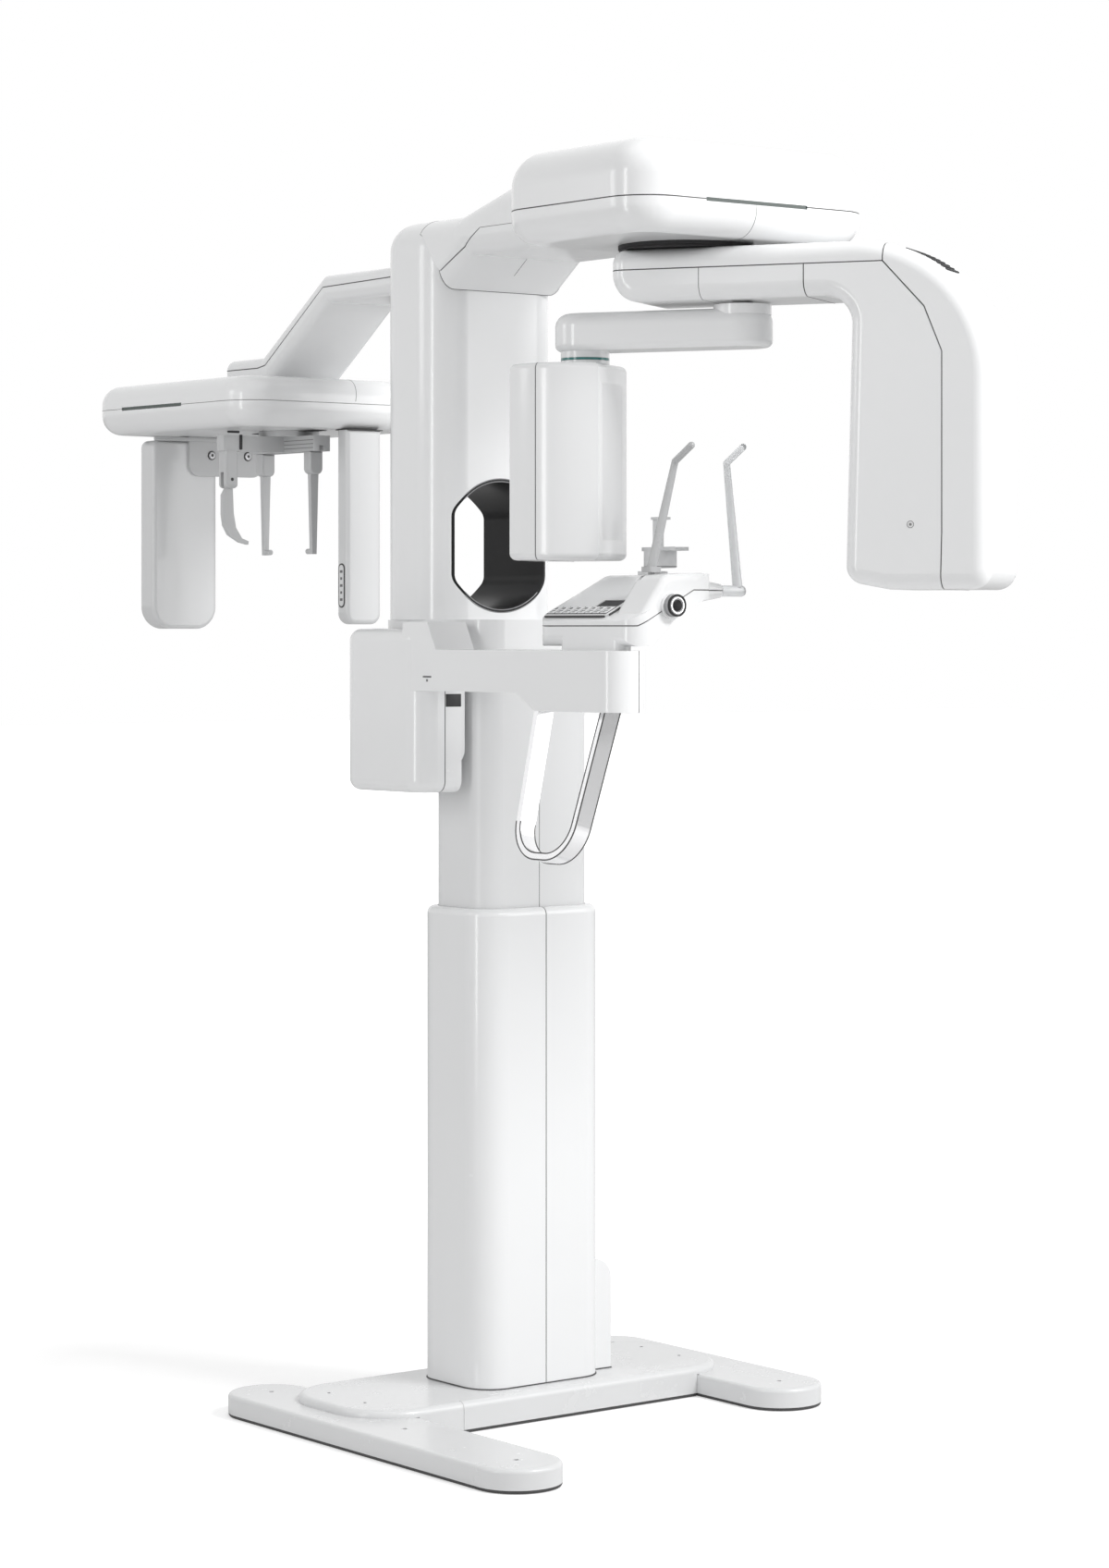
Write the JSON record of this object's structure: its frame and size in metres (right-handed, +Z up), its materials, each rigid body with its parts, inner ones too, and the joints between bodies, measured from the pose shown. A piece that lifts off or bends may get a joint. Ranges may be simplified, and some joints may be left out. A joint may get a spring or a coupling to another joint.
{
  "type": "dental ct scanner",
  "caption": "Floor-standing dental panoramic and CT X-ray unit: lifting column, overhead housing with turning C-arm, patient support console and a rear skull-imaging arm.",
  "frame": {"origin": "on the floor under the middle of the lifting column, at the middle of the central levelling pad", "axes": "+Z up, -Y towards the patient's side, +Y towards the skull-imaging arm, -X the operator's side"},
  "size_m": [0.865, 1.9425, 2.051],
  "materials": {
    "white_cover": "glossy",
    "white_metal": "satin paint",
    "white_profile": "white coated",
    "pad_rubber": "matte",
    "bare_steel": "machined",
    "dark_gloss": "glossy",
    "dark_matte": "matte",
    "grey_metal": "satin paint",
    "polished_metal": "polished",
    "keypad_white": "satin",
    "grille_white": "satin",
    "teal_ring": "glossy",
    "panel_grey": "satin",
    "rod_clear": "clear to grey",
    "chin_grey": "satin",
    "grey_plastic": "satin"
  },
  "bodies": {
    "base": {"cross_cover": "white_cover", "foot_left": "white_metal", "foot_right": "white_metal", "levelling_pads": "pad_rubber", "lower_cover_left": "white_cover", "lower_cover_right": "white_cover", "inlet_box": "white_cover", "mast": "bare_steel", "lift_drive": "bare_steel"},
    "lift_carriage": {"inner_column": "white_profile", "lift_nut": "bare_steel", "carriage_cover": "white_cover", "upper_column": "white_cover", "window_liner": "dark_gloss", "beam_top_cover": "white_cover", "beam_under_cover": "white_cover", "housing_top_cover": "white_cover", "housing_under_cover": "white_cover", "gantry_motor": "dark_matte", "slewing_ring": "bare_steel", "indicator_strips": "dark_gloss", "skull_arm_upper_cover": "white_cover", "skull_arm_lower_cover": "white_cover", "skull_head_upper_cover": "white_cover", "skull_head_lower_cover": "white_cover", "box_front_cover": "white_cover", "box_rear_cover": "white_cover", "box_back_panel": "grey_metal", "service_socket": "dark_matte", "support_arm": "white_cover", "arm_end_cap": "white_cover", "grab_handle": "polished_metal", "console_upper_cover": "white_cover", "console_lower_cover": "white_cover", "keypad": "keypad_white", "display_pane": "dark_gloss"},
    "gantry": {"gantry_shaft": "bare_steel", "gantry_top_cover": "white_cover", "gantry_under_cover": "white_cover", "tube_head_inner_cover": "white_cover", "tube_head_outer_cover": "white_cover", "vent_grille": "grille_white", "xray_source": "grey_metal"},
    "sensor_arm": {"sensor_arm": "white_cover", "neck_ring": "teal_ring"},
    "sensor_head": {"sensor_rear_cover": "white_cover", "sensor_front_cover": "white_cover", "flat_panel": "panel_grey"},
    "temple_rod_left": {"temple_rod_left": "rod_clear"},
    "temple_rod_right": {"temple_rod_right": "rod_clear"},
    "temple_knob": {"temple_knob": "polished_metal"},
    "chin_rest": {"chin_rest": "chin_grey", "bite_post": "chin_grey"},
    "skull_detector": {"skull_detector": "white_cover", "detector_bracket": "grey_plastic"},
    "skull_collimator": {"skull_collimator": "white_cover"},
    "ear_turntable": {"ear_turntable": "grey_plastic"},
    "ear_rod_front": {"ear_rod_front": "grey_plastic"},
    "ear_rod_back": {"ear_rod_back": "grey_plastic"},
    "nasion_support": {"nasion_support": "grey_plastic"}
  },
  "joints": [
    {"name": "column_lift", "type": "slide", "parent": "base", "child": "lift_carriage", "axis": [0, 0, 1], "range_m": [-0.4, 0.25]},
    {"name": "gantry_rotation", "type": "hinge", "parent": "lift_carriage", "child": "gantry", "pos_m": [0, -0.454, 1.9], "axis": [0, 0, 1], "range_deg": [-170, 110]},
    {"name": "sensor_arm_swivel", "type": "hinge", "parent": "gantry", "child": "sensor_arm", "pos_m": [0.0475, -0.53627, 1.82], "axis": [0, 0, 1], "range_deg": [-90, 90]},
    {"name": "sensor_head_swivel", "type": "hinge", "parent": "sensor_arm", "child": "sensor_head", "pos_m": [-0.0855, -0.30591, 1.74], "axis": [0, 0, 1], "range_deg": [0, 30]},
    {"name": "temple_slide_right", "type": "slide", "parent": "lift_carriage", "child": "temple_rod_right", "axis": [1, 0, 0], "range_m": [0, 0.02]},
    {"name": "temple_slide_left", "type": "slide", "parent": "lift_carriage", "child": "temple_rod_left", "axis": [-1, 0, 0], "range_m": [0, 0.02]},
    {"name": "temple_knob_turn", "type": "hinge", "parent": "lift_carriage", "child": "temple_knob", "pos_m": [-0.103, -0.55, 1.336], "axis": [0, -1, 0], "range_deg": [0, 180]},
    {"name": "chin_rest_slide", "type": "slide", "parent": "lift_carriage", "child": "chin_rest", "axis": [0, 0, 1], "range_m": [0, 0.035]},
    {"name": "detector_scan", "type": "slide", "parent": "lift_carriage", "child": "skull_detector", "axis": [1, 0, 0], "range_m": [-0.09, 0.1]},
    {"name": "collimator_scan", "type": "slide", "parent": "lift_carriage", "child": "skull_collimator", "axis": [1, 0, 0], "range_m": [-0.0682, 0.0758]},
    {"name": "ear_turntable_turn", "type": "hinge", "parent": "lift_carriage", "child": "ear_turntable", "pos_m": [0, 0.664, 1.64], "axis": [0, 0, 1], "range_deg": [-90, 0]},
    {"name": "ear_slide_front", "type": "slide", "parent": "ear_turntable", "child": "ear_rod_front", "axis": [0, -1, 0], "range_m": [-0.02, 0.02]},
    {"name": "ear_slide_back", "type": "slide", "parent": "ear_turntable", "child": "ear_rod_back", "axis": [0, 1, 0], "range_m": [-0.02, 0.02]},
    {"name": "nasion_fold", "type": "hinge", "parent": "ear_turntable", "child": "nasion_support", "pos_m": [-0.131, 0.664, 1.567], "axis": [0, 1, 0], "range_deg": [0, 90]}
  ],
  "couplings": [
    {"joint": "temple_slide_left", "follows": "temple_slide_right", "ratio": 1},
    {"joint": "temple_knob_turn", "follows": "temple_slide_right", "rad_per_m": 157.07},
    {"joint": "collimator_scan", "follows": "detector_scan", "ratio": 0.757},
    {"joint": "ear_slide_back", "follows": "ear_slide_front", "ratio": 1}
  ]
}
